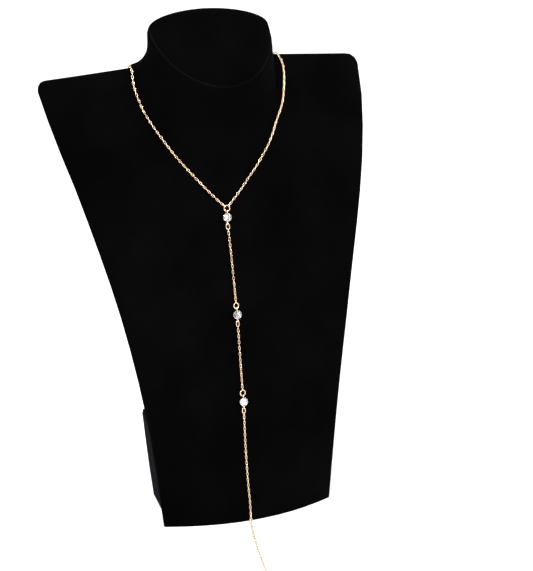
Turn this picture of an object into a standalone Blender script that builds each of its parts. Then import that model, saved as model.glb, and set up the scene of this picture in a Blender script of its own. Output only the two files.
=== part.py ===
"""Body chain necklace on a velvet covered neck bust.

Metres, +Z up. The bust faces -Y and stands on Z = 0, with the origin at the middle of its base.
"""

import math
from bisect import bisect_right
from collections import namedtuple

import bmesh
import bpy
from mathutils import Matrix, Vector
from mathutils.bvhtree import BVHTree

# Neck bust
BUST_HEIGHT = 0.3058
SHOULDER_WIDTH = 0.230
SHOULDER_DROP = 0.0113
SHOULDER_CURVE = 1.3
CHEST_CROWN = 0.0185
BUST_LEAN = 0.0662
BASE_FRONT_Y = -0.040
EDGE_THICKNESS = 0.008
EDGE_RADIUS = 0.0020
EDGE_UNDERCUT = 0.0050
RIDGE_SLOPE = math.radians(20)
CORNER_RADIUS_LEFT = 0.005
CORNER_RADIUS_RIGHT = 0.010
CORNER_REACH = 12

# Sections of the torso from the base to the shoulder ridge. Columns: height as a share of
# BUST_HEIGHT, half width as a share of half SHOULDER_WIDTH, crown of the chest as a share of
# CHEST_CROWN, and lean as a share of BUST_LEAN.
TORSO_SECTIONS = (
    (0.00, 0.530, 0.70, 0.000),
    (0.25, 0.602, 0.47, 0.121),
    (0.50, 0.716, 0.27, 0.329),
    (0.75, 0.870, 0.31, 0.621),
    (0.90, 0.963, 0.69, 0.838),
    (1.00, 1.000, 1.00, 1.000),
)
TORSO_ROWS = 14
TORSO_COLUMNS = 20
ROUNDING_STEPS = 3

# Neck stump, cut by a plane that faces forwards and up
NECK_WIDTH = 0.0864
NECK_FRONT_DEPTH = 0.0366
NECK_BACK_DEPTH = 0.0121
NECK_CENTRE_Y = 0.0348
NECK_TOP_Z = 0.3250
NECK_TOP_ANGLE = math.radians(43.7)
NECK_TOP_SIDE_SLOPE = 0.012
NECK_SQUARENESS = 1.93
NECK_RIM_RADIUS = 0.0047
NECK_FORWARD_LEAN = 0.35
NECK_FLARE_LEFT = 0.013
NECK_FLARE_RIGHT = 0.0015
NECK_FLARE_HEIGHT = 0.012
NECK_FLARE_START_Y = 0.012
NECK_FOOT_Z = 0.236
NECK_SIDES = 40
NECK_WALL_SHARES = (0.0, 0.3, 0.55, 0.70, 0.785, 0.80, 0.82, 0.85, 0.89, 0.94, 1.0)

# Foot behind the torso
FOOT_HEIGHT = 0.065
FOOT_REAR_Y = 0.031
FOOT_FRONT_INSET = 0.005
FOOT_REAR_INSET = 0.0123
FOOT_EDGE = 0.003

# Wire pieces. Columns of each: outer length, outer width and wire diameter.
Wire = namedtuple("Wire", "length width wire")
CHAIN_LINK = Wire(0.00278, 0.0015, 0.00042)
END_LINK = Wire(0.0032, 0.0019, 0.0005)
JUMP_RING = Wire(0.0046, 0.0046, 0.0007)
LOWER_RING = Wire(0.0044, 0.0028, 0.0006)
BEZEL_EYE = Wire(0.0027, 0.0027, 0.0007)
CLASP_RING = Wire(0.0055, 0.0055, 0.0011)
CLASP_EYE = Wire(0.0022, 0.0022, 0.0005)
CATCH_RING = Wire(0.0036, 0.0024, 0.0005)
LINK_PITCH = 0.00199
LINK_AROUND = 10
LINK_SECTION = 5
RING_AROUND = 14
RING_SECTION = 6
WIRE_SLACK = 0.0001

# Crystal stations on the drop
BEZEL_DIAMETER = 0.0056
BEZEL_DEPTH = 0.0024
BEZEL_WALL = 0.00022
BEZEL_FLOOR = 0.0004
BEZEL_SIDES = 24
STONE_CLEARANCE = 0.00017
STONE_CROWN = 0.0010
STONE_GIRDLE = 0.00015
STONE_TABLE_SHARE = 0.56
STONE_CULET_SHARE = 0.25
STONE_FACETS = 8
SOLDER_OVERLAP = 0.00025

# Stretches of the drop between the stations. Columns: links, and quarter turns of twist that
# bring the last link square to its ring again.
DROP_CHAINS = (
    (25, 2),
    (22, 1),
)

# How far the rings above and below each crystal lie turned from flat
RING_ROLLS = (0.0, math.radians(-18), math.radians(-14))

FORWARD = Vector((0, -1, 0))
UPWARD = Vector((0, 0, 1))
SEAT_GAP = 0.0003
CHAIN_LIFT = 0.0014
FLOOR_LIFT = 0.0010
TUBE_STEP = 0.0090
TUBE_SAG = 0.00025
ROUTE_STEP = 0.0015
ROUTE_SMOOTHING = 6
FLOOR_BLEND = 0.006
CLASP_SHARE = 0.5
CLASP_KNOB_SHARE = 0.36
CLASP_KNOB_HEIGHT = 0.0011
CLASP_KNOB_TURN = math.radians(52)

# Where the chain lies. The first column is the place across as a share of half NECK_WIDTH. The
# second is, on the front, the height as a share of BUST_HEIGHT; on the ledge behind the neck, the
# distance in from the back edge as a share of EDGE_THICKNESS; and on the table, the distance ahead
# of the base as a share of BUST_HEIGHT.
NECK_LEFT_SHARES = (
    (-0.106, 0.686),
    (-0.230, 0.703),
    (-0.391, 0.728),
    (-0.554, 0.755),
    (-0.704, 0.781),
    (-0.843, 0.807),
    (-0.962, 0.833),
    (-1.069, 0.858),
    (-1.165, 0.883),
    (-1.238, 0.908),
    (-1.280, 0.932),
    (-1.305, 0.955),
    (-1.290, 0.977),
)
LEDGE_SHARES = (
    (-1.28, 2.20),
    (-1.23, 1.35),
    (-1.02, 0.95),
    (-0.59, 0.59),
    (-0.01, 0.46),
    (0.50, 0.59),
    (0.91, 1.21),
    (1.075, 2.20),
)
NECK_RIGHT_SHARES = (
    (1.075, 0.985),
    (1.115, 0.979),
    (1.143, 0.966),
    (1.149, 0.953),
    (1.107, 0.921),
    (1.040, 0.889),
    (0.957, 0.868),
    (0.880, 0.851),
    (0.801, 0.828),
    (0.722, 0.811),
    (0.640, 0.796),
    (0.551, 0.781),
    (0.460, 0.766),
    (0.352, 0.751),
    (0.249, 0.736),
    (0.145, 0.720),
    (0.030, 0.705),
    (-0.106, 0.686),
)
DROP_SHARES = (
    (-0.106, 0.686),
    (-0.125, 0.666),
    (-0.123, 0.646),
    (-0.119, 0.620),
    (-0.118, 0.577),
    (-0.116, 0.484),
    (-0.119, 0.420),
    (-0.124, 0.359),
    (-0.124, 0.275),
    (-0.129, 0.222),
    (-0.132, 0.173),
    (-0.127, 0.128),
    (-0.116, 0.077),
    (-0.100, 0.030),
)
TABLE_SHARES = (
    (-0.141, 0.018),
    (-0.186, 0.038),
    (-0.258, 0.071),
    (-0.402, 0.144),
    (-0.502, 0.200),
    (-0.589, 0.252),
    (-0.635, 0.280),
)


def clear_scene():
    for obj in list(bpy.data.objects):
        bpy.data.objects.remove(obj, do_unlink=True)


def blend_rows(rows, share, column):
    """Smooth value of one column of a section table at a share of the first column."""
    for index in range(len(rows) - 1):
        if share <= rows[index + 1][0] or index == len(rows) - 2:
            break
    low, high = rows[index], rows[index + 1]

    def slope(i):
        before, after = rows[max(i - 1, 0)], rows[min(i + 1, len(rows) - 1)]
        return (after[column] - before[column]) / (after[0] - before[0])

    span = high[0] - low[0]
    t = (share - low[0]) / span
    hermite_low = (1 + 2 * t) * (1 - t) ** 2
    hermite_high = t * t * (3 - 2 * t)
    bend_low = t * (1 - t) ** 2 * span * slope(index)
    bend_high = t * t * (t - 1) * span * slope(index + 1)
    return hermite_low * low[column] + hermite_high * high[column] + bend_low + bend_high


def torso_half_width(share):
    return blend_rows(TORSO_SECTIONS, share, 1) * SHOULDER_WIDTH / 2


def torso_front_y(share):
    return BASE_FRONT_Y + blend_rows(TORSO_SECTIONS, share, 3) * BUST_LEAN


def torso_crown(share):
    return blend_rows(TORSO_SECTIONS, share, 2) * CHEST_CROWN


def torso_back_y(share):
    return torso_front_y(share) + torso_crown(share) + EDGE_THICKNESS


def ridge_height(x):
    """Height of the shoulder ridge at x, before its outer corners are rounded."""
    return BUST_HEIGHT - SHOULDER_DROP * (abs(x) / (SHOULDER_WIDTH / 2)) ** SHOULDER_CURVE


def corner_drop(x):
    """How far the rounded outer corner lies below the ridge at x."""
    radius = CORNER_RADIUS_LEFT if x < 0 else CORNER_RADIUS_RIGHT
    into_corner = abs(x) - (SHOULDER_WIDTH / 2 - radius)
    if into_corner <= 0:
        return 0.0
    return radius - math.sqrt(max(radius ** 2 - into_corner ** 2, 0.0))


def new_object(name, mesh, material):
    obj = bpy.data.objects.new(name, mesh)
    bpy.context.scene.collection.objects.link(obj)
    mesh.materials.append(material)
    return obj


def mesh_from(name, bm, sharp_angle=40):
    bmesh.ops.recalc_face_normals(bm, faces=bm.faces)
    mesh = bpy.data.meshes.new(name)
    bm.to_mesh(mesh)
    bm.free()
    mesh.shade_smooth()
    mesh.set_sharp_from_angle(angle=math.radians(sharp_angle))
    return mesh


def loft(bm, loops):
    """Quads between closed loops of as many points each. Returns the loops of vertices."""
    rings = [[bm.verts.new(point) for point in loop] for loop in loops]
    for low, high in zip(rings, rings[1:]):
        for i in range(len(low)):
            j = (i + 1) % len(low)
            bm.faces.new((low[i], low[j], high[j], high[i]))
    return rings


def ladder_cap(bm, ring):
    """Closes a loop whose first half runs beside its second half, rung by rung."""
    count = len(ring)
    for i in range(count // 2 - 1):
        bm.faces.new((ring[i], ring[i + 1], ring[count - 2 - i], ring[count - 1 - i]))


def torso_column(across, edge_turn):
    """One closed profile of the torso: up the front, over the ridge and down the back."""
    turns = [0.5 * math.pi * k / ROUNDING_STEPS for k in range(1, ROUNDING_STEPS + 1)]
    rows = [(j / TORSO_ROWS, 0.0) for j in range(TORSO_ROWS + 1)] + [(1.0, turn) for turn in turns]
    front, back = [], []
    for share, ridge_turn in rows:
        narrowed = EDGE_RADIUS * (1 - math.sin(edge_turn))
        half = torso_half_width(share) - narrowed
        inset = EDGE_RADIUS * (1 - math.cos(edge_turn) * math.cos(ridge_turn))
        front_y = torso_front_y(share) + torso_crown(share) * across ** 2
        back_y = torso_back_y(share)
        top_x = across * (SHOULDER_WIDTH / 2 - narrowed)
        top = ridge_height(top_x) - EDGE_RADIUS * (1 - math.sin(ridge_turn))
        drop = corner_drop(top_x) * share ** CORNER_REACH
        fall = (back_y - front_y) * math.tan(RIDGE_SLOPE)
        front.append((across * half, front_y + inset, share * top - drop))
        back.append((across * (half - EDGE_UNDERCUT), back_y - inset, share * (top - fall) - drop))
    return front + back[::-1]


def torso_mesh(name):
    half = SHOULDER_WIDTH / 2
    columns = []
    for side, radius in ((-1, CORNER_RADIUS_LEFT), (1, CORNER_RADIUS_RIGHT)):
        flat_end = 1 - radius / half
        outer = [flat_end + (1 - flat_end) * math.sin(0.5 * math.pi * k / ROUNDING_STEPS)
                 for k in range(1, ROUNDING_STEPS + 1)]
        inner = [flat_end * k / (TORSO_COLUMNS // 2) for k in range(1, TORSO_COLUMNS // 2 + 1)]
        columns.append([(side * across, 0.0) for across in inner + outer])
    left, right = columns
    profiles = [(across, turn) for across, turn in left[::-1]] + [(0.0, 0.0)] + right
    turns = [0.5 * math.pi * k / ROUNDING_STEPS for k in range(1, ROUNDING_STEPS + 1)]
    profiles = [(-1.0, turn) for turn in turns[::-1]] + profiles + [(1.0, turn) for turn in turns]
    bm = bmesh.new()
    rings = loft(bm, [torso_column(across, turn) for across, turn in profiles])
    ladder_cap(bm, rings[0])
    ladder_cap(bm, rings[-1])
    return mesh_from(name, bm)


def neck_depths(height):
    """Front and back of the neck at this height, kept inside the back of the torso."""
    rim_front_z = NECK_TOP_Z - NECK_FRONT_DEPTH * math.tan(NECK_TOP_ANGLE)
    front_y = NECK_CENTRE_Y - NECK_FRONT_DEPTH
    front_y += NECK_FORWARD_LEAN * max(rim_front_z - height, 0.0)
    back_y = NECK_CENTRE_Y + NECK_BACK_DEPTH
    inside = torso_back_y(min(height / BUST_HEIGHT, 1.0)) - EDGE_RADIUS
    return front_y, min(back_y, inside)


def neck_point(turn, height, inset=0.0):
    """Point of the neck's wall at a turn from the front, drawn in towards its axis by inset."""
    front_y, back_y = neck_depths(height)
    above = min(max((height - ridge_height(NECK_WIDTH / 2)) / NECK_FLARE_HEIGHT, 0.0), 1.0)
    sine, cosine = math.sin(turn), math.cos(turn)
    reach = (abs(sine) ** NECK_SQUARENESS + abs(cosine) ** NECK_SQUARENESS) ** (-1 / NECK_SQUARENESS)
    depth = NECK_FRONT_DEPTH if cosine > 0 else NECK_BACK_DEPTH
    straight_y = NECK_CENTRE_Y - depth * reach * cosine
    behind = min(max((straight_y - NECK_FLARE_START_Y) / (NECK_CENTRE_Y - NECK_FLARE_START_Y), 0.0), 1.0)
    side_flare = NECK_FLARE_LEFT if sine < 0 else NECK_FLARE_RIGHT
    flare = side_flare * (1 - math.sqrt(1 - (1 - above) ** 2)) * behind * behind * (3 - 2 * behind)
    half = (NECK_WIDTH / 2 + flare) * reach - inset
    share = (straight_y - (NECK_CENTRE_Y - NECK_FRONT_DEPTH)) / (NECK_FRONT_DEPTH + NECK_BACK_DEPTH)
    y = front_y + share * (back_y - front_y) + inset * cosine
    return Vector((half * sine, y, height))


def neck_mesh(name):
    turns = [2 * math.pi * k / NECK_SIDES for k in range(NECK_SIDES)]

    def plane_z(point):
        return NECK_TOP_Z + (point.y - NECK_CENTRE_Y) * math.tan(NECK_TOP_ANGLE) - point.x * NECK_TOP_SIDE_SLOPE

    loops = []
    for share in NECK_WALL_SHARES:
        loop = []
        for turn in turns:
            top = plane_z(neck_point(turn, BUST_HEIGHT)) - NECK_RIM_RADIUS
            loop.append(neck_point(turn, NECK_FOOT_Z + share * (top - NECK_FOOT_Z)))
        loops.append(loop)
    for step in range(1, ROUNDING_STEPS + 1):
        bend = 0.5 * math.pi * step / ROUNDING_STEPS
        loop = []
        for turn in turns:
            point = neck_point(turn, BUST_HEIGHT + NECK_FLARE_HEIGHT, NECK_RIM_RADIUS * (1 - math.cos(bend)))
            point.z = plane_z(point) - NECK_RIM_RADIUS * (1 - math.sin(bend))
            loop.append(point)
        loops.append(loop)
    bm = bmesh.new()
    rings = loft(bm, loops)
    bm.faces.new(rings[0])
    bm.faces.new(rings[-1])
    return mesh_from(name, bm)


def foot_mesh(name):
    """Wrapped block behind the torso, its front following the torso's back."""
    loops = []
    for share in (0.0, 0.34, 0.67, 1.0):
        height = share * FOOT_HEIGHT
        level = height / (ridge_height(SHOULDER_WIDTH / 2) - EDGE_THICKNESS * math.tan(RIDGE_SLOPE))
        half = torso_half_width(level)
        front_y = torso_back_y(level) + SEAT_GAP
        wide, narrow = half - FOOT_FRONT_INSET, half - FOOT_REAR_INSET
        loops.append([(-wide, front_y, height), (wide, front_y, height),
                      (narrow, FOOT_REAR_Y, height), (-narrow, FOOT_REAR_Y, height)])
    bm = bmesh.new()
    rings = loft(bm, loops)
    bm.faces.new(rings[0])
    bm.faces.new(rings[-1])
    rear = {vert for ring in rings for vert in ring[2:]}
    top = set(rings[-1])
    edges = [edge for edge in bm.edges
             if (set(edge.verts) <= rear and edge.verts[0].co.z != edge.verts[1].co.z)
             or (set(edge.verts) <= top and set(edge.verts) != set(rings[-1][:2]))]
    bmesh.ops.bevel(bm, geom=edges, offset=FOOT_EDGE, segments=2, profile=0.5, affect="EDGES")
    return mesh_from(name, bm)


def join_solids(target, other):
    """Boolean union of two objects into the first one's mesh."""
    union = target.modifiers.new("union", "BOOLEAN")
    union.operation = "UNION"
    union.solver = "EXACT"
    union.object = other
    graph = bpy.context.evaluated_depsgraph_get()
    joined = bpy.data.meshes.new_from_object(target.evaluated_get(graph))
    target.modifiers.clear()
    target.data = joined
    bpy.data.objects.remove(other, do_unlink=True)


def met(surface, start, direction):
    """The chain's lift over the velvet that a straight look from outside meets."""
    place, normal, _, _ = surface.ray_cast(start, direction)
    return place + normal * CHAIN_LIFT


def on_front(columns, surface):
    across, level = columns
    start = Vector((across * NECK_WIDTH / 2, -BUST_HEIGHT, level * BUST_HEIGHT))
    return met(surface, start, -FORWARD)


def on_ledge(columns, surface):
    across, inset = columns
    start = Vector((across * NECK_WIDTH / 2, torso_back_y(1.0) - inset * EDGE_THICKNESS, 2 * BUST_HEIGHT))
    return met(surface, start, -UPWARD)


def on_table(columns):
    across, ahead = columns
    return Vector((across * NECK_WIDTH / 2, BASE_FRONT_Y - ahead * BUST_HEIGHT, FLOOR_LIFT))


def neck_points(surface):
    left = [on_front(columns, surface) for columns in NECK_LEFT_SHARES]
    behind = [on_ledge(columns, surface) for columns in LEDGE_SHARES]
    right = [on_front(columns, surface) for columns in NECK_RIGHT_SHARES]
    return left + behind + right


def drop_points(surface):
    front = [on_front(columns, surface) for columns in DROP_SHARES]
    return front + [on_table(columns) for columns in TABLE_SHARES]


def spline_points(route, step):
    """Points about a step apart along one smooth curve through the route's points."""
    ends = [route[0] * 2 - route[1]] + route + [route[-1] * 2 - route[-2]]
    dense = []
    for before, low, high, after in zip(ends, ends[1:], ends[2:], ends[3:]):
        count = max(2, round((high - low).length / step))
        for k in range(count):
            t = k / count
            dense.append(0.5 * (2 * low + (high - before) * t
                                + (2 * before - 5 * low + 4 * high - after) * t ** 2
                                + (3 * low - before - 3 * high + after) * t ** 3))
    return dense + [route[-1]]


class Route:
    """A chain's centre line, kept clear of the bust, and its frames by length from the start."""

    def __init__(self, chosen, surface):
        dense = [keep_clear(point, surface) for point in spline_points(chosen, ROUTE_STEP)]
        for _ in range(ROUTE_SMOOTHING):
            middle = [(a + 2 * b + c) / 4 for a, b, c in zip(dense, dense[1:], dense[2:])]
            dense = [dense[0]] + [keep_clear(point, surface) for point in middle] + [dense[-1]]
        self.points = dense
        self.normals = [outward(point, surface) for point in dense]
        self.lengths = [0.0]
        for a, b in zip(dense, dense[1:]):
            self.lengths.append(self.lengths[-1] + (b - a).length)
        self.total = self.lengths[-1]

    def at(self, length):
        """Position, direction and outward normal at a length along the route."""
        index = min(max(bisect_right(self.lengths, length) - 1, 0), len(self.points) - 2)
        a, b = self.points[index], self.points[index + 1]
        t = (length - self.lengths[index]) / (self.lengths[index + 1] - self.lengths[index])
        ahead = (b - a).normalized()
        normal = self.normals[index].lerp(self.normals[index + 1], t)
        normal = (normal - ahead * normal.dot(ahead)).normalized()
        return a.lerp(b, t), ahead, normal

    def frame(self, length, roll=0.0):
        """Matrix with X along the route and Z along the outward normal, rolled about X."""
        place, ahead, normal = self.at(length)
        side = normal.cross(ahead)
        turned = Matrix((ahead, side, normal)).transposed().to_4x4()
        return Matrix.Translation(place) @ turned @ Matrix.Rotation(roll, 4, "X")


def is_inside(point, surface):
    """Whether the first face of the bust met towards the front is met from behind."""
    normal = surface.ray_cast(point, FORWARD)[1]
    return normal is not None and normal.dot(FORWARD) > 0


def outward(point, surface):
    """Direction away from the bust, turning upwards where the point is on the table."""
    near, normal, _, _ = surface.find_nearest(point)
    away = normal if is_inside(point, surface) else (point - near).normalized()
    share = min(max((point.z - FLOOR_LIFT) / FLOOR_BLEND, 0.0), 1.0)
    return UPWARD.lerp(away, share).normalized()


def keep_clear(point, surface):
    """The point pushed out to the chain's lift wherever it is nearer to the velvet."""
    for _ in range(4):
        near, normal, _, distance = surface.find_nearest(point)
        inside = is_inside(point, surface)
        if not inside and distance >= CHAIN_LIFT:
            break
        point = near + (normal if inside else (point - near).normalized()) * CHAIN_LIFT
    point.z = max(point.z, FLOOR_LIFT)
    return point


def centre_half(piece):
    """Half the length of a wire piece between the centres of its end wires."""
    return (piece.length - piece.wire) / 2


def hooked(first, second, slack=WIRE_SLACK):
    """Distance between the centres of two wire pieces that hang in each other."""
    return centre_half(first) + centre_half(second) - (first.wire + second.wire) / 2 - slack


def add_wire(bm, piece, around, section, place):
    """A closed round or oval ring of wire, long along X and flat in XY, with a wire vertex inwards."""
    bend = (piece.width - piece.wire) / 2
    straight = (piece.length - piece.width) / 2
    if straight > 0:
        half_turns = [math.pi * (k / (around // 2 - 1) - 0.5) for k in range(around // 2)]
        path = [(straight, turn) for turn in half_turns]
        path += [(-straight, turn + math.pi) for turn in half_turns]
    else:
        path = [(0.0, 2 * math.pi * k / around) for k in range(around)]
    loops = []
    for shift, turn in path:
        loop = []
        for k in range(section):
            tilt = 2 * math.pi * k / section
            reach = bend - piece.wire / 2 * math.cos(tilt)
            loop.append(place @ Vector((shift + reach * math.cos(turn), reach * math.sin(turn),
                                        piece.wire / 2 * math.sin(tilt))))
        loops.append(loop)
    rings = loft(bm, loops)
    for i in range(section):
        j = (i + 1) % section
        bm.faces.new((rings[-1][i], rings[-1][j], rings[0][j], rings[0][i]))


def wire_object(name, piece, place, material):
    bm = bmesh.new()
    add_wire(bm, piece, RING_AROUND, RING_SECTION, place)
    return new_object(name, mesh_from(name, bm), material)


def link_chain(name, route, start, links, quarter_turns, material):
    """Real links hooked in each other along the route and fused into one body."""
    objects = []
    for parity in (0, 1):
        bm = bmesh.new()
        for k in range(parity, links, 2):
            twist = 0.5 * math.pi * quarter_turns * k / (links - 1)
            place = route.frame(start + k * LINK_PITCH, math.pi / 2 * (k + 1) + twist)
            add_wire(bm, CHAIN_LINK, LINK_AROUND, LINK_SECTION, place)
        objects.append(new_object(f"{name}_{parity}", mesh_from(name, bm), material))
    chain, others = objects
    join_solids(chain, others)
    chain.name = name
    return chain


def bend_points(route, start, end):
    """Points along a stretch of the route, close together only where it bends."""
    count = max(2, round((end - start) / ROUTE_STEP))
    points = [route.at(start + (end - start) * k / count)[0] for k in range(count + 1)]
    chosen, index = [points[0]], 0
    while index < count:
        reach = index + 1
        while reach < count and stays_close(points[index:reach + 2]):
            reach += 1
        index = reach
        chosen.append(points[index])
    return chosen


def stays_close(points):
    """Whether the straight run from the first point to the last is short and passes near the rest."""
    chord = points[-1] - points[0]
    if chord.length > TUBE_STEP:
        return False
    for point in points[1:-1]:
        offset = point - points[0]
        if (offset - chord * (offset.dot(chord) / chord.dot(chord))).length > TUBE_SAG:
            return False
    return True


def tube_chain(name, route, start, end, material):
    """Plain round tube along the stretch that a fine chain takes."""
    points = bend_points(route, start, end)
    curve = bpy.data.curves.new(name, "CURVE")
    curve.dimensions = "3D"
    curve.bevel_depth = CHAIN_LINK.width / 2
    curve.bevel_resolution = 2
    curve.use_fill_caps = True
    spline = curve.splines.new("POLY")
    spline.points.add(len(points) - 1)
    for target, point in zip(spline.points, points):
        target.co = (*point, 1.0)
    obj = bpy.data.objects.new(name, curve)
    bpy.context.scene.collection.objects.link(obj)
    curve.materials.append(material)
    return obj


def turned_loops(profile, sides, place):
    loops = []
    for radius, height in profile:
        loops.append([place @ Vector((radius * math.cos(2 * math.pi * k / sides),
                                      radius * math.sin(2 * math.pi * k / sides), height))
                      for k in range(sides)])
    return loops


def bezel_object(name, place, material):
    """Cup for one crystal, open at the front, with an eye soldered on above and below."""
    outer, inner = BEZEL_DIAMETER / 2, BEZEL_DIAMETER / 2 - BEZEL_WALL
    floor_radius = inner * STONE_CULET_SHARE + STONE_CLEARANCE
    low = -BEZEL_DEPTH / 2
    profile = (
        (outer - BEZEL_FLOOR, low),
        (outer, low + BEZEL_FLOOR),
        (outer, -low - BEZEL_WALL),
        (outer - BEZEL_WALL / 2, -low),
        (inner, -low),
        (inner, -low - STONE_GIRDLE - BEZEL_WALL - STONE_CLEARANCE),
        (floor_radius, low + BEZEL_FLOOR),
    )
    bm = bmesh.new()
    rings = loft(bm, turned_loops(profile, BEZEL_SIDES, place))
    bm.faces.new(rings[0])
    bm.faces.new(rings[-1])
    cup = new_object(name, mesh_from(name, bm), material)
    reach = outer + centre_half(BEZEL_EYE) + BEZEL_EYE.wire / 2 - SOLDER_OVERLAP
    for side in (-1, 1):
        eye = wire_object(f"{name}_eye", BEZEL_EYE, place @ Matrix.Translation((side * reach, 0, 0))
                          @ Matrix.Rotation(math.pi / 2, 4, "X"), material)
        join_solids(cup, eye)
    return cup


def stone_object(name, place, material):
    """Round cut crystal: a table, kites and stars on the crown, a girdle and a faceted back."""
    radius = BEZEL_DIAMETER / 2 - BEZEL_WALL - STONE_CLEARANCE
    seat = BEZEL_DEPTH / 2 - BEZEL_WALL - STONE_GIRDLE
    culet_z = BEZEL_FLOOR - BEZEL_DEPTH / 2 + STONE_CLEARANCE
    count = STONE_FACETS
    bm = bmesh.new()

    def ring(size, height, sides, offset=0.0):
        return [bm.verts.new(place @ Vector((size * math.cos(2 * math.pi * (k + offset) / sides),
                                             size * math.sin(2 * math.pi * (k + offset) / sides), height)))
                for k in range(sides)]

    table = ring(radius * STONE_TABLE_SHARE, seat + STONE_GIRDLE + STONE_CROWN, count)
    upper = ring(radius, seat + STONE_GIRDLE, 2 * count)
    lower = ring(radius, seat, 2 * count)
    culet = ring(radius * STONE_CULET_SHARE, culet_z, count)
    bm.faces.new(table)
    bm.faces.new(culet[::-1])
    for k in range(2 * count):
        j = (k + 1) % (2 * count)
        bm.faces.new((lower[k], lower[j], upper[j], upper[k]))
    for k in range(count):
        j = (k + 1) % count
        before, here, after = (2 * k - 1) % (2 * count), 2 * k, 2 * k + 1
        for level, girdle in ((table, upper), (culet, lower)):
            bm.faces.new((level[k], girdle[before], girdle[here]))
            bm.faces.new((level[k], girdle[here], girdle[after]))
            bm.faces.new((level[k], girdle[after], level[j]))
    return new_object(name, mesh_from(name, bm, sharp_angle=1), material)


def clasp_object(name, place, material):
    """Spring ring clasp in one piece: its ring, the small eye beside it and the thumb knob."""
    clasp = wire_object(name, CLASP_RING, place, material)
    eye_place = place @ Matrix.Translation((-clasp_eye_reach(), 0, 0))
    join_solids(clasp, wire_object(f"{name}_eye", CLASP_EYE, eye_place, material))
    bm = bmesh.new()
    radius = CLASP_RING.wire * CLASP_KNOB_SHARE
    profile = ((radius, 0.0), (radius, CLASP_KNOB_HEIGHT))
    turned = place @ Matrix.Rotation(CLASP_KNOB_TURN, 4, "Z") @ Matrix.Rotation(math.pi / 2, 4, "Y")
    at = turned @ Matrix.Translation((0, 0, centre_half(CLASP_RING)))
    rings = loft(bm, turned_loops(profile, 8, at))
    bm.faces.new(rings[0])
    bm.faces.new(rings[-1])
    join_solids(clasp, new_object(f"{name}_knob", mesh_from(name, bm), material))
    return clasp


def clasp_eye_reach():
    return CLASP_RING.length / 2 + CLASP_EYE.length / 2 - SOLDER_OVERLAP


def finish(name, colour, roughness, metallic):
    material = bpy.data.materials.new(name)
    material.use_nodes = True
    shader = material.node_tree.nodes["Principled BSDF"]
    shader.inputs["Base Color"].default_value = (*colour, 1.0)
    shader.inputs["Roughness"].default_value = roughness
    shader.inputs["Metallic"].default_value = metallic
    return material


def build_bust(velvet):
    torso = new_object("neck_bust", torso_mesh("neck_bust"), velvet)
    join_solids(torso, new_object("neck_stump", neck_mesh("neck_stump"), velvet))
    new_object("rear_foot", foot_mesh("rear_foot"), velvet)
    return BVHTree.FromObject(torso, bpy.context.evaluated_depsgraph_get())


def build_neck_chain(route, gold):
    """Two lengths of chain from the centre ring to the clasp behind the neck."""
    edge_on = math.pi / 2
    end_outside = END_LINK.length / 2 + SEAT_GAP
    front = hooked(JUMP_RING, END_LINK)
    middle = route.total * CLASP_SHARE
    left_back = middle - clasp_eye_reach() - hooked(CLASP_EYE, END_LINK)
    catch = middle + hooked(CLASP_RING, CATCH_RING)
    right_back = catch + hooked(CATCH_RING, END_LINK)
    right_front = route.total - front
    clasp_object("spring_ring_clasp", route.frame(middle), gold)
    wire_object("left_front_link", END_LINK, route.frame(front, edge_on), gold)
    wire_object("left_back_link", END_LINK, route.frame(left_back, edge_on), gold)
    wire_object("catch_ring", CATCH_RING, route.frame(catch, edge_on), gold)
    wire_object("right_back_link", END_LINK, route.frame(right_back), gold)
    wire_object("right_front_link", END_LINK, route.frame(right_front, edge_on), gold)
    tube_chain("neck_chain_left", route, front + end_outside, left_back - end_outside, gold)
    tube_chain("neck_chain_right", route, right_back + end_outside, right_front - end_outside, gold)


def build_drop(route, gold, crystal):
    """Three crystal stations, two lengths of chain between them and the long tail."""
    edge_on = math.pi / 2
    bezel_half = BEZEL_DIAMETER / 2 + BEZEL_EYE.length / 2 - SOLDER_OVERLAP
    ring_at = 0.0
    for station in range(len(DROP_CHAINS) + 1):
        number = station + 1
        roll = RING_ROLLS[station]
        wire_object(f"jump_ring_{number}", JUMP_RING, route.frame(ring_at, roll), gold)
        bezel_at = ring_at + hooked(JUMP_RING, BEZEL_EYE) + bezel_half
        bezel_object(f"bezel_{number}", route.frame(bezel_at), gold)
        stone_object(f"crystal_{number}", route.frame(bezel_at), crystal)
        lower_at = bezel_at + bezel_half + hooked(BEZEL_EYE, LOWER_RING)
        wire_object(f"lower_ring_{number}", LOWER_RING, route.frame(lower_at, roll), gold)
        if station < len(DROP_CHAINS):
            links, quarter_turns = DROP_CHAINS[station]
            first = lower_at + hooked(LOWER_RING, CHAIN_LINK)
            link_chain(f"drop_chain_{number}", route, first, links, quarter_turns, gold)
            ring_at = first + (links - 1) * LINK_PITCH + hooked(CHAIN_LINK, JUMP_RING)
    top_link = lower_at + hooked(LOWER_RING, END_LINK)
    wire_object("tail_top_link", END_LINK, route.frame(top_link, edge_on), gold)
    wire_object("tail_end_link", END_LINK, route.frame(route.total, edge_on), gold)
    inset = END_LINK.length / 2 + SEAT_GAP
    tube_chain("tail_chain", route, top_link + inset, route.total - inset, gold)


def main():
    clear_scene()
    velvet = finish("velvet", (0.004, 0.004, 0.005), 0.95, 0.0)
    gold = finish("gold", (0.90, 0.68, 0.36), 0.22, 1.0)
    crystal = finish("crystal", (0.97, 0.97, 0.98), 0.03, 0.0)
    surface = build_bust(velvet)
    build_neck_chain(Route(neck_points(surface), surface), gold)
    build_drop(Route(drop_points(surface), surface), gold, crystal)


main()
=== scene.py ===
"""Looks of the body chain necklace on its velvet neck bust. Metres, +Z up, bust facing -Y."""
import math
from bisect import bisect_right
from collections import namedtuple

import bmesh
import bpy
from mathutils import Matrix, Vector
from mathutils.bvhtree import BVHTree


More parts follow.
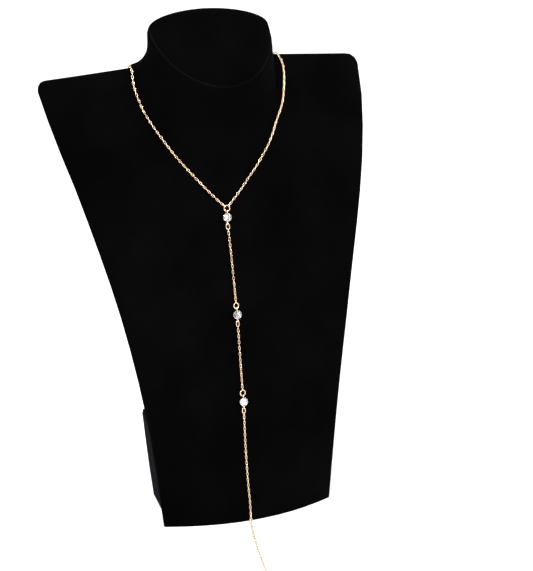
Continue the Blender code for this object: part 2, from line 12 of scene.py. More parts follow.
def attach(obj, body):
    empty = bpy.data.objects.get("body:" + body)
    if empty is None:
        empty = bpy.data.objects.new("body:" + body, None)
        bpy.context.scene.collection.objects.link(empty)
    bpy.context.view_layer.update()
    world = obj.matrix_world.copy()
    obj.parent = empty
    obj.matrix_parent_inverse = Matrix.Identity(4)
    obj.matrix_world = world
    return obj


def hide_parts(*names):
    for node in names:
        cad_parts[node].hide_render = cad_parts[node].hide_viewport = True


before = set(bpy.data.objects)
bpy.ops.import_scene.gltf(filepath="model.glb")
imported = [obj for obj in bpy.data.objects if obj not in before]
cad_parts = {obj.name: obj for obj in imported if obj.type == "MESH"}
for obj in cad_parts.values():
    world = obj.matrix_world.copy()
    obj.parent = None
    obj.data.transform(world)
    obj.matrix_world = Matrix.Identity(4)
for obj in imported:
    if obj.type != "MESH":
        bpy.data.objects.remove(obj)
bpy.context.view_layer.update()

# Camera, from the photograph's viewing angle
PICTURE_HEIGHT = 571
CAMERA_AZIMUTH = math.radians(22.95)
CAMERA_ELEVATION = math.radians(17.85)
CAMERA_ROLL = math.radians(-0.35)
CAMERA_DISTANCE = 1.361
CAMERA_ACROSS = 0.0235
CAMERA_UP = 0.147
FOCAL_PIXELS = 1960
CAMERA_SIGHT = 20

# Wire pieces, as in the solids. Columns of each: outer length, outer width and wire diameter.
Wire = namedtuple("Wire", "length width wire")
CHAIN_LINK = Wire(0.00278, 0.0015, 0.00042)
END_LINK = Wire(0.0032, 0.0019, 0.0005)
JUMP_RING = Wire(0.0046, 0.0046, 0.0007)
LOWER_RING = Wire(0.0044, 0.0028, 0.0006)
BEZEL_EYE = Wire(0.0027, 0.0027, 0.0007)
CLASP_RING = Wire(0.0055, 0.0055, 0.0011)
CLASP_EYE = Wire(0.0022, 0.0022, 0.0005)
CATCH_RING = Wire(0.0036, 0.0024, 0.0005)
LINK_PITCH = 0.00199
LINK_AROUND = 14
LINK_SECTION = 5
RING_AROUND = 40
RING_SECTION = 12
WIRE_SLACK = 0.0001
ROLL_PLAY = math.radians(5)
ROLL_SEED = 7

# Crystal stations
BEZEL_DIAMETER = 0.0056
BEZEL_DEPTH = 0.0024
BEZEL_WALL = 0.00022
BEZEL_FLOOR = 0.0004
BEZEL_SIDES = 48
RIM_STEPS = 6
FOOT_STEPS = 4
STONE_CLEARANCE = 0.00017
STONE_CROWN = 0.0010
STONE_GIRDLE = 0.00015
STONE_TABLE_SHARE = 0.56
STONE_CULET_SHARE = 0.25
STONE_STAR_SHARE = 0.78
STONE_LOWER_SHARE = 0.42
STONE_FACETS = 8
SOLDER_OVERLAP = 0.00025

# Stretches of the drop between the stations. Columns: links, and quarter turns of twist.
DROP_CHAINS = (
    (25, 2),
    (22, 1),
)

# How far the rings above and below each crystal lie turned from flat
RING_ROLLS = (0.0, math.radians(-18), math.radians(-14))

FORWARD = Vector((0, -1, 0))
UPWARD = Vector((0, 0, 1))
CHAIN_LIFT = 0.0014
FLOOR_LIFT = 0.0010
ROUTE_STEP = 0.0015
ROUTE_SMOOTHING = 6
CLEARING_PUSHES = 4
FLOOR_BLEND = 0.006
CLASP_SHARE = 0.5
CLASP_KNOB_SHARE = 0.36
CLASP_KNOB_HEIGHT = 0.0011
CLASP_KNOB_TURN = math.radians(52)
KNOB_SHOULDER_SHARE = 0.85
KNOB_TOP_SHARE = 0.7
KNOB_SIDES = 16

# Bust, as in the solids
BUST_HEIGHT = 0.3058
NECK_WIDTH = 0.0864
EDGE_THICKNESS = 0.008
BASE_FRONT_Y = -0.040
LEDGE_BACK_Y = 0.0527

# Slanted top of the neck, as in the solids, and the welt round it
NECK_FRONT_DEPTH = 0.0366
NECK_BACK_DEPTH = 0.0121
NECK_CENTRE_Y = 0.0348
NECK_TOP_Z = 0.3250
NECK_TOP_ANGLE = math.radians(43.7)
NECK_TOP_SIDE_SLOPE = 0.012
NECK_SQUARENESS = 1.93
SEAM_INSET = 0.0014
SEAM_WIRE = 0.0012
SEAM_SIDES = 96
SEAM_SECTION = 8

# Meshes
SHARP_ANGLE = math.radians(40)
WELD_DISTANCE = 1e-6
VELVET_FACE = 0.006
VELVET_SPLITS = 3

# Looks. Scales are those of noise textures. Each pair of tones is the dark and the pale one, with
# the noise levels between which they blend beside it, and each pair of roughnesses is a range.
GOLD_TONES = (0.78, 0.53, 0.31, 1), (0.93, 0.73, 0.50, 1)
# The bezel cups' paler gold is a painted highlight, standing in for the white glare on their
# polished rims.
PAINTED_HIGHLIGHT_CUP_TONES = (0.93, 0.80, 0.66, 1), (1.0, 0.93, 0.84, 1)
GOLD_BLEND = 0.35, 0.65
GOLD_PATCH_SCALE = 260.0
GOLD_ROUGHNESS = 0.14, 0.30
GOLD_GRAIN_SCALE = 1500.0
GOLD_GRAIN_DEPTH = 0.0001
GOLD_GRAIN_STRENGTH = 0.12
CRYSTAL_TONE = (0.98, 0.98, 0.99, 1)
CRYSTAL_HAZE_SCALE = 900.0
CRYSTAL_ROUGHNESS = 0.0, 0.03
CRYSTAL_INDEX = 1.6
FOIL_HAZE_SCALE = 1200.0
FOIL_ROUGHNESS = 0.03, 0.12
# The foil's dark tone is a painted dark reflection, put on a facet here and there; the pale one is
# the silver.
FOIL_AND_PAINTED_DARK_TONES = (0.05, 0.05, 0.06, 1), (0.95, 0.95, 0.96, 1)
PAINTED_DARK_FACET_STEPS = 0.0, 0.25
VELVET_TONES = (0.0004, 0.0004, 0.0004, 1), (0.0010, 0.0010, 0.0010, 1)
# These paler velvet tones are a painted highlight along the neck's top rim, where the edge catches
# light.
PAINTED_RIM_HIGHLIGHT_TONES = (0.0008, 0.0008, 0.0008, 1), (0.0034, 0.0033, 0.0032, 1)
VELVET_BLEND = 0.35, 0.70
VELVET_PATCH_SCALE = 22.0
VELVET_PILE_SCALE = 2600.0
VELVET_ROW_SCALE = 420.0
VELVET_PILE_DEPTH = 0.0003
VELVET_PILE_STRENGTH = 0.5
VELVET_ROUGHNESS = 0.95
VELVET_SPECULAR = 0.012
SHEEN_WEIGHT = 0.005
SHEEN_ROUGHNESS = 0.35
SHEEN_TINT = (0.45, 0.62, 1.0, 1)
FLOOR_TONE = (0.86, 0.86, 0.86, 1)
FLOOR_ROUGHNESS = 0.9
FLOOR_SPECULAR = 0.1

# Stage
FLOOR_REACH = 6.0
SKY_TONE = (1.0, 1.0, 1.0, 1)
SKY_STRENGTH = 1.35
LIGHT_AIM = Vector((0, 0, 0.15))
LIGHT_SIZE = 0.5
KEY_PLACE, KEY_POWER = Vector((-0.9, -1.2, 1.6)), 45
FILL_PLACE, FILL_POWER = Vector((1.3, -0.9, 1.0)), 18

# Where the chain lies. The first column is the place across as a share of half NECK_WIDTH. The
# second is, on the front, the height as a share of BUST_HEIGHT; on the ledge behind the neck, the
# distance in from the back edge as a share of EDGE_THICKNESS; and on the table, the distance ahead
# of the base as a share of BUST_HEIGHT.
NECK_LEFT_SHARES = (
    (-0.106, 0.686),
    (-0.230, 0.703),
    (-0.391, 0.728),
    (-0.554, 0.755),
    (-0.704, 0.781),
    (-0.843, 0.807),
    (-0.962, 0.833),
    (-1.069, 0.858),
    (-1.165, 0.883),
    (-1.238, 0.908),
    (-1.280, 0.932),
    (-1.305, 0.955),
    (-1.290, 0.977),
)
LEDGE_SHARES = (
    (-1.28, 2.20),
    (-1.23, 1.35),
    (-1.02, 0.95),
    (-0.59, 0.59),
    (-0.01, 0.46),
    (0.50, 0.59),
    (0.91, 1.21),
    (1.075, 2.20),
)
NECK_RIGHT_SHARES = (
    (1.075, 0.985),
    (1.115, 0.979),
    (1.143, 0.966),
    (1.149, 0.953),
    (1.107, 0.921),
    (1.040, 0.889),
    (0.957, 0.868),
    (0.880, 0.851),
    (0.801, 0.828),
    (0.722, 0.811),
    (0.640, 0.796),
    (0.551, 0.781),
    (0.460, 0.766),
    (0.352, 0.751),
    (0.249, 0.736),
    (0.145, 0.720),
    (0.030, 0.705),
    (-0.106, 0.686),
)
DROP_SHARES = (
    (-0.106, 0.686),
    (-0.125, 0.666),
    (-0.123, 0.646),
    (-0.119, 0.620),
    (-0.118, 0.577),
    (-0.116, 0.484),
    (-0.119, 0.420),
    (-0.124, 0.359),
    (-0.124, 0.275),
    (-0.129, 0.222),
    (-0.132, 0.173),
    (-0.127, 0.128),
    (-0.116, 0.077),
    (-0.100, 0.030),
)
TABLE_SHARES = (
    (-0.141, 0.018),
    (-0.186, 0.038),
    (-0.258, 0.071),
    (-0.402, 0.144),
    (-0.502, 0.200),
    (-0.589, 0.252),
    (-0.635, 0.280),
)


def set_camera():
    """The camera stands where the photograph was taken from, aimed a little off the middle."""
    back = Vector((-math.sin(CAMERA_AZIMUTH) * math.cos(CAMERA_ELEVATION),
                   -math.cos(CAMERA_AZIMUTH) * math.cos(CAMERA_ELEVATION),
                   math.sin(CAMERA_ELEVATION)))
    right = UPWARD.cross(back).normalized()
    up = back.cross(right)
    place = back * CAMERA_DISTANCE + right * CAMERA_ACROSS + up * CAMERA_UP
    turned = Matrix((right, up, back)).transposed().to_4x4() @ Matrix.Rotation(CAMERA_ROLL, 4, "Z")
    data = bpy.data.cameras.new("camera")
    data.lens = FOCAL_PIXELS / PICTURE_HEIGHT * data.sensor_width
    data.clip_end = CAMERA_SIGHT
    camera = bpy.data.objects.new("camera", data)
    camera.matrix_world = Matrix.Translation(place) @ turned
    bpy.context.scene.collection.objects.link(camera)
    bpy.context.scene.camera = camera


def met(surface, start, direction):
    """The chain's lift over the velvet that a straight look from outside meets."""
    place, normal, _, _ = surface.ray_cast(start, direction)
    return place + normal * CHAIN_LIFT


def on_front(columns, surface):
    across, level = columns
    start = Vector((across * NECK_WIDTH / 2, -BUST_HEIGHT, level * BUST_HEIGHT))
    return met(surface, start, -FORWARD)


def on_ledge(columns, surface):
    across, inset = columns
    y = LEDGE_BACK_Y - inset * EDGE_THICKNESS
    start = Vector((across * NECK_WIDTH / 2, y, 2 * BUST_HEIGHT))
    return met(surface, start, -UPWARD)


def on_table(columns):
    across, ahead = columns
    return Vector((across * NECK_WIDTH / 2, BASE_FRONT_Y - ahead * BUST_HEIGHT, FLOOR_LIFT))


def neck_points(surface):
    left = [on_front(columns, surface) for columns in NECK_LEFT_SHARES]
    behind = [on_ledge(columns, surface) for columns in LEDGE_SHARES]
    right = [on_front(columns, surface) for columns in NECK_RIGHT_SHARES]
    return left + behind + right


def drop_points(surface):
    front = [on_front(columns, surface) for columns in DROP_SHARES]
    return front + [on_table(columns) for columns in TABLE_SHARES]


def spline_points(route, step):
    """Points about a step apart along one smooth curve through the route's points."""
    ends = [route[0] * 2 - route[1]] + route + [route[-1] * 2 - route[-2]]
    dense = []
    for before, low, high, after in zip(ends, ends[1:], ends[2:], ends[3:]):
        count = max(2, round((high - low).length / step))
        for k in range(count):
            t = k / count
            dense.append(0.5 * (2 * low + (high - before) * t
                                + (2 * before - 5 * low + 4 * high - after) * t ** 2
                                + (3 * low - before - 3 * high + after) * t ** 3))
    return dense + [route[-1]]


class Route:
    """A chain's centre line, kept clear of the bust, and its frames by length from the start."""

    def __init__(self, chosen, surface):
        dense = [keep_clear(point, surface) for point in spline_points(chosen, ROUTE_STEP)]
        for _ in range(ROUTE_SMOOTHING):
            middle = [(a + 2 * b + c) / 4 for a, b, c in zip(dense, dense[1:], dense[2:])]
            dense = [dense[0]] + [keep_clear(point, surface) for point in middle] + [dense[-1]]
        self.points = dense
        self.normals = [outward(point, surface) for point in dense]
        self.lengths = [0.0]
        for a, b in zip(dense, dense[1:]):
            self.lengths.append(self.lengths[-1] + (b - a).length)
        self.total = self.lengths[-1]

    def at(self, length):
        """Position, direction and outward normal at a length along the route."""
        index = min(max(bisect_right(self.lengths, length) - 1, 0), len(self.points) - 2)
        a, b = self.points[index], self.points[index + 1]
        t = (length - self.lengths[index]) / (self.lengths[index + 1] - self.lengths[index])
        ahead = (b - a).normalized()
        normal = self.normals[index].lerp(self.normals[index + 1], t)
        normal = (normal - ahead * normal.dot(ahead)).normalized()
        return a.lerp(b, t), ahead, normal

    def frame(self, length, roll=0.0):
        """Matrix with X along the route and Z along the outward normal, rolled about X."""
        place, ahead, normal = self.at(length)
        side = normal.cross(ahead)
        turned = Matrix((ahead, side, normal)).transposed().to_4x4()
        return Matrix.Translation(place) @ turned @ Matrix.Rotation(roll, 4, "X")


def is_inside(point, surface):
    """Whether the first face of the bust met towards the front is met from behind."""
    normal = surface.ray_cast(point, FORWARD)[1]
    return normal is not None and normal.dot(FORWARD) > 0


def outward(point, surface):
    """Direction away from the bust, turning upwards where the point is on the table."""
    near, normal, _, _ = surface.find_nearest(point)
    away = normal if is_inside(point, surface) else (point - near).normalized()
    share = min(max((point.z - FLOOR_LIFT) / FLOOR_BLEND, 0.0), 1.0)
    return UPWARD.lerp(away, share).normalized()


def keep_clear(point, surface):
    """The point pushed out to the chain's lift wherever it is nearer to the velvet."""
    for _ in range(CLEARING_PUSHES):
        near, normal, _, distance = surface.find_nearest(point)
        inside = is_inside(point, surface)
        if not inside and distance >= CHAIN_LIFT:
            break
        point = near + (normal if inside else (point - near).normalized()) * CHAIN_LIFT
    point.z = max(point.z, FLOOR_LIFT)
    return point


def centre_half(piece):
    """Half the length of a wire piece between the centres of its end wires."""
    return (piece.length - piece.wire) / 2


def hooked(first, second):
    """Distance between the centres of two wire pieces that hang in each other."""
    return centre_half(first) + centre_half(second) - (first.wire + second.wire) / 2 - WIRE_SLACK


class Nodes:
    """Short calls for building one node tree."""

    def __init__(self, tree):
        self.tree = tree

    def add(self, kind, inputs=None, **settings):
        node = self.tree.nodes.new(kind)
        for name, value in settings.items():
            setattr(node, name, value)
        for name, value in (inputs or {}).items():
            self.feed(node, name, value)
        return node

    def feed(self, node, name, value):
        """Gives an input a value, or links it to a socket or to a node's first output."""
        socket = node.inputs[name]
        if isinstance(value, bpy.types.NodeSocket):
            self.tree.links.new(value, socket)
        elif isinstance(value, bpy.types.Node):
            self.tree.links.new(value.outputs[0], socket)
        else:
            socket.default_value = value

    def math(self, operation, first, second=0.0):
        return self.add("ShaderNodeMath", {0: first, 1: second}, operation=operation)

    def noise(self, where, scale, detail=2.0):
        return self.add("ShaderNodeTexNoise", {"Vector": where, "Scale": scale, "Detail": detail})

    def tones(self, level, places, colours):
        """Colour ramp with a colour at each of two places."""
        ramp = self.add("ShaderNodeValToRGB", {0: level})
        for end, place, colour in zip(ramp.color_ramp.elements, places, colours):
            end.position, end.color = place, colour
        return ramp

    def between(self, level, limits):
        low, high = limits
        return self.add("ShaderNodeMapRange", {0: level, "To Min": low, "To Max": high})


def link_tree():
    """Geometry Nodes: an oval wire link on every point of a strand, each a quarter turn on."""
    tree = bpy.data.node_groups.new("wire_links", "GeometryNodeTree")
    ports = tree.interface
    ports.new_socket("Geometry", in_out="INPUT", socket_type="NodeSocketGeometry")
    for name in ("Link Length", "Link Width", "Wire", "First Roll", "Roll Step", "Roll Play"):
        ports.new_socket(name, in_out="INPUT", socket_type="NodeSocketFloat")
    ports.new_socket("Metal", in_out="INPUT", socket_type="NodeSocketMaterial")
    ports.new_socket("Geometry", in_out="OUTPUT", socket_type="NodeSocketGeometry")
    made = Nodes(tree)
    given = made.add("NodeGroupInput").outputs
    bend = made.math("MULTIPLY", made.math("SUBTRACT", given["Link Width"], given["Wire"]), 0.5)
    spare = made.math("SUBTRACT", given["Link Length"], given["Link Width"])
    straight = made.math("MULTIPLY", spare, 0.5)
    circle = made.add("GeometryNodeCurvePrimitiveCircle", {
        "Resolution": LINK_AROUND, "Radius": bend})
    place = made.add("ShaderNodeSeparateXYZ", {0: made.add("GeometryNodeInputPosition")})
    shift = made.math("MULTIPLY", made.math("SIGN", place.outputs["X"]), straight)
    oval = made.add("GeometryNodeSetPosition", {
        "Geometry": circle.outputs["Curve"],
        "Offset": made.add("ShaderNodeCombineXYZ", {"X": shift})})
    section = made.add("GeometryNodeCurvePrimitiveCircle", {
        "Resolution": LINK_SECTION,
        "Radius": made.math("MULTIPLY", given["Wire"], 0.5)})
    wire = made.add("GeometryNodeCurveToMesh", {
        "Curve": oval, "Profile Curve": section.outputs["Curve"]})
    ahead, away = [made.add("GeometryNodeInputNamedAttribute", {"Name": label},
                            data_type="FLOAT_VECTOR") for label in ("ahead", "outward")]
    along = made.add("FunctionNodeAxesToRotation", {
        "Primary Axis": ahead.outputs["Attribute"], "Secondary Axis": away.outputs["Attribute"]},
        primary_axis="X", secondary_axis="Z")
    play = made.add("FunctionNodeRandomValue", {"Seed": ROLL_SEED}, data_type="FLOAT")
    made.feed(play, 2, made.math("MULTIPLY", given["Roll Play"], -1.0))
    made.feed(play, 3, given["Roll Play"])
    turn = made.math("MULTIPLY", made.add("GeometryNodeInputIndex"), given["Roll Step"])
    turn = made.math("ADD", made.math("ADD", turn, given["First Roll"]), play.outputs[1])
    roll = made.add("FunctionNodeAxisAngleToRotation", {"Axis": (1.0, 0.0, 0.0), "Angle": turn})
    turned = made.add("FunctionNodeRotateRotation", {"Rotation": along, "Rotate By": roll},
                      rotation_space="LOCAL")
    links = made.add("GeometryNodeInstanceOnPoints", {
        "Points": given["Geometry"], "Instance": wire, "Rotation": turned})
    real = made.add("GeometryNodeRealizeInstances", {"Geometry": links})
    smooth = made.add("GeometryNodeSetShadeSmooth", {"Geometry": real})
    finished = made.add("GeometryNodeSetMaterial", {"Geometry": smooth, "Material": given["Metal"]})
    made.add("NodeGroupOutput", {"Geometry": finished})
    return tree


def chain_links(name, route, start, links, pitch, first_roll, roll_step, replaced):
    """A strand of real links, made by the link tree on points a pitch apart."""
    frames = [route.at(start + k * pitch) for k in range(links)]
    mesh = bpy.data.meshes.new(name)
    mesh.from_pydata([place for place, _, _ in frames], [], [])
    for label, column in (("ahead", 1), ("outward", 2)):
        values = mesh.attributes.new(label, "FLOAT_VECTOR", "POINT").data
        for value, given in zip(values, frames):
            value.vector = given[column]
    strand = bpy.data.objects.new(name, mesh)
    bpy.context.scene.collection.objects.link(strand)
    maker = strand.modifiers.new("links", "NODES")
    maker.node_group = LINKS
    settings = {
        "Link Length": CHAIN_LINK.length,
        "Link Width": CHAIN_LINK.width,
        "Wire": CHAIN_LINK.wire,
        "First Roll": first_roll,
        "Roll Step": roll_step,
        "Roll Play": ROLL_PLAY,
        "Metal": GOLD,
    }
    for port in LINKS.interface.items_tree:
        if port.in_out == "INPUT" and port.name in settings:
            maker[port.identifier] = settings[port.name]
    graph = bpy.context.evaluated_depsgraph_get()
    real = bpy.data.meshes.new_from_object(strand.evaluated_get(graph))
    strand.modifiers.clear()
    strand.data = real
    dress(strand, replaced)


def dress(piece, replaced):
    """The finished piece rides on the one body and stands for its solid."""
    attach(piece, "root")
    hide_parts(replaced)


def mesh_object(name, bm, materials, smooth=True):
    bmesh.ops.recalc_face_normals(bm, faces=bm.faces)
    mesh = bpy.data.meshes.new(name)
    bm.to_mesh(mesh)
    bm.free()
    if smooth:
        mesh.shade_smooth()
        mesh.set_sharp_from_angle(angle=SHARP_ANGLE)
    for material in materials:
        mesh.materials.append(material)
    obj = bpy.data.objects.new(name, mesh)
    bpy.context.scene.collection.objects.link(obj)
    return obj


def loft(bm, loops, closed=False):
    """Quads between loops of as many points each. Returns the loops of vertices."""
    rings = [[bm.verts.new(point) for point in loop] for loop in loops]
    pairs = list(zip(rings, rings[1:]))
    if closed:
        pairs.append((rings[-1], rings[0]))
    for low, high in pairs:
        for i in range(len(low)):
            j = (i + 1) % len(low)
            bm.faces.new((low[i], low[j], high[j], high[i]))
    return rings


def add_wire(bm, piece, place):
    """A closed round or oval ring of wire, long along X and flat in XY."""
    bend = (piece.width - piece.wire) / 2
    straight = (piece.length - piece.width) / 2
    half = RING_AROUND // 2
    if straight > 0:
        half_turns = [math.pi * (k / (half - 1) - 0.5) for k in range(half)]
        path = [(straight, turn) for turn in half_turns]
        path += [(-straight, turn + math.pi) for turn in half_turns]
    else:
        path = [(0.0, 2 * math.pi * k / RING_AROUND) for k in range(RING_AROUND)]
    loops = []
    for shift, turn in path:
        loop = []
        for k in range(RING_SECTION):
            tilt = 2 * math.pi * k / RING_SECTION
            reach = bend - piece.wire / 2 * math.cos(tilt)
            loop.append(place @ Vector((shift + reach * math.cos(turn), reach * math.sin(turn),
                                        piece.wire / 2 * math.sin(tilt))))
        loops.append(loop)
    loft(bm, loops, closed=True)


def wire_piece(node, piece, place):
    bm = bmesh.new()
    add_wire(bm, piece, place)
    obj = mesh_object(f"fine_{node}", bm, [GOLD])
    dress(obj, node)


def turned_loops(profile, sides, place):
    loops = []
    for radius, height in profile:
        loops.append([place @ Vector((radius * math.cos(2 * math.pi * k / sides),
                                      radius * math.sin(2 * math.pi * k / sides), height))
                      for k in range(sides)])
    return loops


def bezel_piece(node, place):
    """Cup with a softly rolled rim, and an eye soldered on above and below."""
    outer, inner = BEZEL_DIAMETER / 2, BEZEL_DIAMETER / 2 - BEZEL_WALL
    floor_radius = inner * STONE_CULET_SHARE + STONE_CLEARANCE
    low = -BEZEL_DEPTH / 2
    rolls = [math.pi * k / RIM_STEPS for k in range(RIM_STEPS + 1)]
    rim = [(outer - BEZEL_WALL / 2 * (1 - math.cos(turn)),
            -low - BEZEL_WALL / 2 + BEZEL_WALL / 2 * math.sin(turn)) for turn in rolls]
    foot = [(outer - BEZEL_FLOOR * (1 - math.sin(turn)), low + BEZEL_FLOOR * (1 - math.cos(turn)))
            for turn in [math.pi / 2 * k / FOOT_STEPS for k in range(FOOT_STEPS + 1)]]
    inside = [(inner, -low - STONE_GIRDLE - BEZEL_WALL - STONE_CLEARANCE),
              (floor_radius, low + BEZEL_FLOOR)]
    bm = bmesh.new()
    rings = loft(bm, turned_loops(foot + rim + inside, BEZEL_SIDES, place))
    bm.faces.new(rings[0])
    bm.faces.new(rings[-1])
    # The cup takes the paler gold with its painted highlight; the eyes added below keep the chain's
    # gold.
    for face in bm.faces:
        face.material_index = 1
    reach = outer + centre_half(BEZEL_EYE) + BEZEL_EYE.wire / 2 - SOLDER_OVERLAP
    for side in (-1, 1):
        add_wire(bm, BEZEL_EYE, place @ Matrix.Translation((side * reach, 0, 0))
                 @ Matrix.Rotation(math.pi / 2, 4, "X"))
    obj = mesh_object(f"fine_{node}", bm, [GOLD, PAINTED_HIGHLIGHT_CUP_GOLD])
    dress(obj, node)


def stone_piece(node, place):
    """Brilliant cut: table, stars, kites and upper facets, girdle, and a foiled, faceted back."""
    radius = BEZEL_DIAMETER / 2 - BEZEL_WALL - STONE_CLEARANCE
    girdle_top = BEZEL_DEPTH / 2 - BEZEL_WALL
    girdle_low = girdle_top - STONE_GIRDLE
    table_z = girdle_top + STONE_CROWN
    culet_z = BEZEL_FLOOR - BEZEL_DEPTH / 2 + STONE_CLEARANCE
    count = STONE_FACETS
    between = math.cos(math.pi / count)

    def ring(size, height, sides, offset=0.0):
        turns = [2 * math.pi * (k + offset) / sides for k in range(sides)]
        return [bm.verts.new(place @ Vector((size * math.cos(turn), size * math.sin(turn), height)))
                for turn in turns]

    def on_kite(size, inner, inner_z, outer, outer_z):
        """Height at a radius between two kites, so that both stay flat."""
        return inner_z + (size * between - inner) / (outer - inner) * (outer_z - inner_z)

    bm = bmesh.new()
    table_size = radius * STONE_TABLE_SHARE
    star_size = radius * STONE_STAR_SHARE
    culet_size = radius * STONE_CULET_SHARE
    lower_size = radius * STONE_LOWER_SHARE
    table = ring(table_size, table_z, count)
    stars = ring(star_size, on_kite(star_size, table_size, table_z, radius, girdle_top), count, 0.5)
    upper = ring(radius, girdle_top, 2 * count)
    lower = ring(radius, girdle_low, 2 * count)
    backs_z = on_kite(lower_size, culet_size, culet_z, radius, girdle_low)
    backs = ring(lower_size, backs_z, count, 0.5)
    culet = ring(culet_size, culet_z, count)
    bm.faces.new(table)
    foiled = [bm.faces.new(culet[::-1])]
    for k in range(2 * count):
        j = (k + 1) % (2 * count)
        bm.faces.new((lower[k], lower[j], upper[j], upper[k]))
    for k in range(count):
        last, after = (k - 1) % count, (k + 1) % count
        here, beside, following = 2 * k, 2 * k + 1, (2 * k + 2) % (2 * count)
        for level, middle, girdle in ((table, stars, upper), (culet, backs, lower)):
            facets = [
                (level[k], middle[k], level[after]),
                (level[k], middle[last], girdle[here], middle[k]),
                (middle[k], girdle[here], girdle[beside]),
                (middle[k], girdle[beside], girdle[following]),
            ]
            made = [bm.faces.new(facet) for facet in facets]
            if level is culet:
                foiled += made
    for face in foiled:
        face.material_index = 1
    obj = mesh_object(f"fine_{node}", bm, [CRYSTAL, FOIL], smooth=False)
    dress(obj, node)


def clasp_eye_reach():
    return CLASP_RING.length / 2 + CLASP_EYE.length / 2 - SOLDER_OVERLAP


def clasp_piece(node, place):
    bm = bmesh.new()
    add_wire(bm, CLASP_RING, place)
    add_wire(bm, CLASP_EYE, place @ Matrix.Translation((-clasp_eye_reach(), 0, 0)))
    radius = CLASP_RING.wire * CLASP_KNOB_SHARE
    profile = ((radius, 0.0), (radius, CLASP_KNOB_HEIGHT * KNOB_SHOULDER_SHARE),
               (radius * KNOB_TOP_SHARE, CLASP_KNOB_HEIGHT))
    turned = place @ Matrix.Rotation(CLASP_KNOB_TURN, 4, "Z") @ Matrix.Rotation(math.pi / 2, 4, "Y")
    at = turned @ Matrix.Translation((0, 0, centre_half(CLASP_RING)))
    rings = loft(bm, turned_loops(profile, KNOB_SIDES, at))
    bm.faces.new(rings[0])
    bm.faces.new(rings[-1])
    obj = mesh_object(f"fine_{node}", bm, [GOLD])
    dress(obj, node)


def velvet_cover(name, node):
    """The bust's shape again in one smooth skin, its long faces split so that the pile can vary."""
    bm = bmesh.new()
    bm.from_mesh(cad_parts[node].data)
    bmesh.ops.remove_doubles(bm, verts=bm.verts, dist=WELD_DISTANCE)
    for _ in range(VELVET_SPLITS):
        long_edges = [edge for edge in bm.edges if edge.calc_length() > VELVET_FACE]
        bmesh.ops.subdivide_edges(bm, edges=long_edges, cuts=1, smooth=0.0)
        bmesh.ops.triangulate(bm, faces=bm.faces)
    cover = mesh_object(name, bm, [VELVET])
    dress(cover, node)


def seam_points(surface):
    """Closed loop round the slanted top of the neck, drawn to the nearest place on its velvet."""
    slope = math.tan(NECK_TOP_ANGLE)
    points = []
    for k in range(SEAM_SIDES):
        turn = 2 * math.pi * k / SEAM_SIDES
        sine, cosine = math.sin(turn), math.cos(turn)
        reach = abs(sine) ** NECK_SQUARENESS + abs(cosine) ** NECK_SQUARENESS
        reach = reach ** (-1 / NECK_SQUARENESS)
        depth = NECK_FRONT_DEPTH if cosine > 0 else NECK_BACK_DEPTH
        x = (NECK_WIDTH / 2 * reach - SEAM_INSET) * sine
        y = NECK_CENTRE_Y - (depth * reach - SEAM_INSET) * cosine
        z = NECK_TOP_Z + (y - NECK_CENTRE_Y) * slope - x * NECK_TOP_SIDE_SLOPE
        points.append(surface.find_nearest(Vector((x, y, z - SEAM_INSET)))[0])
    return points


def seam_piece(surface):
    """The welt where the velvet of the neck's top meets that of its sides, in a paler velvet that
    is a painted highlight along the rim.
    """
    points = seam_points(surface)
    bm = bmesh.new()
    turns = [2 * math.pi * step / SEAM_SECTION for step in range(SEAM_SECTION)]
    loops = []
    for k, point in enumerate(points):
        ahead = (points[(k + 1) % SEAM_SIDES] - points[k - 1]).normalized()
        normal = surface.find_nearest(point)[1]
        side = normal.cross(ahead).normalized()
        loops.append([point + SEAM_WIRE / 2 * (normal * math.cos(turn) + side * math.sin(turn))
                      for turn in turns])
    loft(bm, loops, closed=True)
    # Its paler velvet is a painted highlight where the rim catches light.
    seam = mesh_object("neck_top_seam", bm, [PAINTED_RIM_HIGHLIGHT_VELVET])
    dress(seam, "neck_bust")


def new_material(name):
    material = bpy.data.materials.new(name)
    material.use_nodes = True
    made = Nodes(material.node_tree)
    return material, made, material.node_tree.nodes["Principled BSDF"]


def plated_metal(name, colours):
    """Polished gold plate, a little uneven in colour between its two tones, and in polish."""
    material, made, shader = new_material(name)
    where = made.add("ShaderNodeTexCoord").outputs["Object"]
    patches = made.noise(where, GOLD_PATCH_SCALE, 3.0).outputs["Fac"]
    made.feed(shader, "Base Color", made.tones(patches, GOLD_BLEND, colours))
    made.feed(shader, "Roughness", made.between(patches, GOLD_ROUGHNESS))
    fine = made.noise(where, GOLD_GRAIN_SCALE, 2.0)
    bump = made.add("ShaderNodeBump", {
        "Height": fine.outputs["Fac"], "Strength": GOLD_GRAIN_STRENGTH,
        "Distance": GOLD_GRAIN_DEPTH})
    made.feed(shader, "Normal", bump)
    shader.inputs["Metallic"].default_value = 1.0
    return material


def crystal_material():
    """Clear cut glass."""
    material, made, shader = new_material("crystal")
    where = made.add("ShaderNodeTexCoord").outputs["Object"]
    haze = made.noise(where, CRYSTAL_HAZE_SCALE)
    made.feed(shader, "Roughness", made.between(haze.outputs["Fac"], CRYSTAL_ROUGHNESS))
    shader.inputs["Base Color"].default_value = CRYSTAL_TONE
    shader.inputs["IOR"].default_value = CRYSTAL_INDEX
    shader.inputs["Transmission Weight"].default_value = 1.0
    return material


